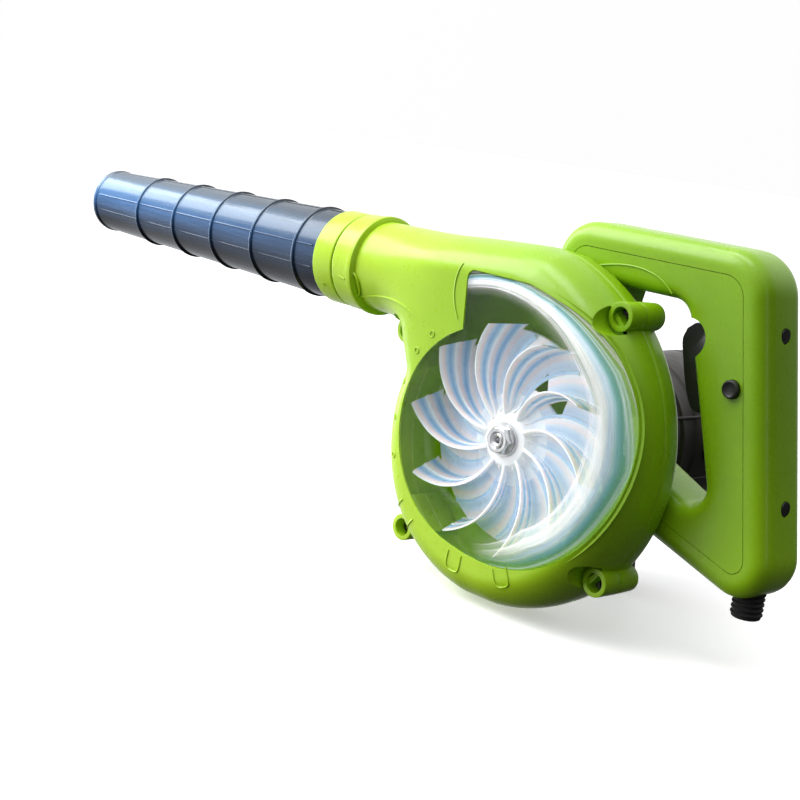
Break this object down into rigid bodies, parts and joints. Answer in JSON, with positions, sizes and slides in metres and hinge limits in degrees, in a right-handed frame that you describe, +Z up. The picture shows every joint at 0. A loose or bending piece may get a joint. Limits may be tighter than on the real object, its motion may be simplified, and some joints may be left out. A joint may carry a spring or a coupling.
{
  "type": "leaf blower",
  "caption": "Electric hand blower with a scroll fan casing, clear intake shroud, ribbed tapered nozzle, D-shaped handle and trigger, and a motor behind the fan.",
  "frame": {"origin": "middle of the base of the bounding box, on the surface that the blower stands on", "axes": "+X rearwards to the handle, with the nozzle pointing to -X; +Y from the intake to the motor; +Z up"},
  "size_m": [0.5264, 0.185, 0.2024],
  "materials": {
    "lime_plastic": "satin moulded plastic",
    "clear_plastic": "clear polished plastic",
    "nozzle_plastic": "glossy blue-black moulded plastic",
    "black_plastic": "fine textured",
    "white_plastic": "pearly moulded plastic",
    "rubber": "matt",
    "steel": "bright zinc",
    "laminated_steel": "stacked sheets",
    "copper": "enamelled copper",
    "cast_aluminium": "die cast",
    "brass": "stamped",
    "carbon": "pressed carbon"
  },
  "bodies": {
    "housing": {"front_cover": "lime_plastic", "clear_shroud": "clear_plastic", "rear_shell": "lime_plastic", "outlet_collar": "lime_plastic", "outlet_seal": "rubber", "housing_screws": "steel", "front_bearing": "steel", "rear_bearing": "steel", "motor_housing": "black_plastic", "motor_end_cap": "black_plastic", "motor_screws": "steel", "cap_screws": "steel", "field_core": "laminated_steel", "field_coils": "copper", "bearing_bracket": "cast_aluminium", "brush_holders": "brass", "carbon_brushes": "carbon", "brush_springs": "steel", "brush_caps": "black_plastic", "handle_body": "lime_plastic", "handle_cover": "lime_plastic", "handle_screws": "steel", "trigger_pin": "steel", "switch_body": "black_plastic", "cord_inlet": "black_plastic", "motor_foot": "black_plastic", "foot_pads": "rubber"},
    "rotor": {"impeller": "white_plastic", "impeller_nut": "steel", "impeller_washer": "steel", "impeller_sleeve": "steel", "motor_shaft": "steel", "cooling_fan": "black_plastic", "armature_core": "laminated_steel", "armature_windings": "copper", "commutator": "copper"},
    "nozzle": {"nozzle": "nozzle_plastic", "nozzle_ring": "lime_plastic"},
    "trigger": {"trigger": "black_plastic", "trigger_spring": "steel"},
    "lock_button": {"lock_button": "black_plastic", "lock_spring": "steel"}
  },
  "joints": [
    {"name": "fan_spin", "type": "hinge", "parent": "housing", "child": "rotor", "pos_m": [0.11325, -0.0325, 0.0854], "axis": [0, -1, 0], "continuous": true},
    {"name": "nozzle_twist", "type": "hinge", "parent": "housing", "child": "nozzle", "pos_m": [-0.01675, -0.0631, 0.1573], "axis": [1, 0, 0], "range_deg": [0, 35]},
    {"name": "trigger_pull", "type": "hinge", "parent": "housing", "child": "trigger", "pos_m": [0.21325, -0.0305, 0.1714], "axis": [0, -1, 0], "range_deg": [0, 6], "stiffness_Nm_per_rad": 1.2, "springref_deg": -8.59, "deforming": ["trigger_spring"]},
    {"name": "lock_press", "type": "slide", "parent": "housing", "child": "lock_button", "axis": [0, 1, 0], "range_m": [0, 0.0025], "stiffness_N_per_m": 500, "springref_m": -0.002, "deforming": ["lock_spring"]}
  ]
}
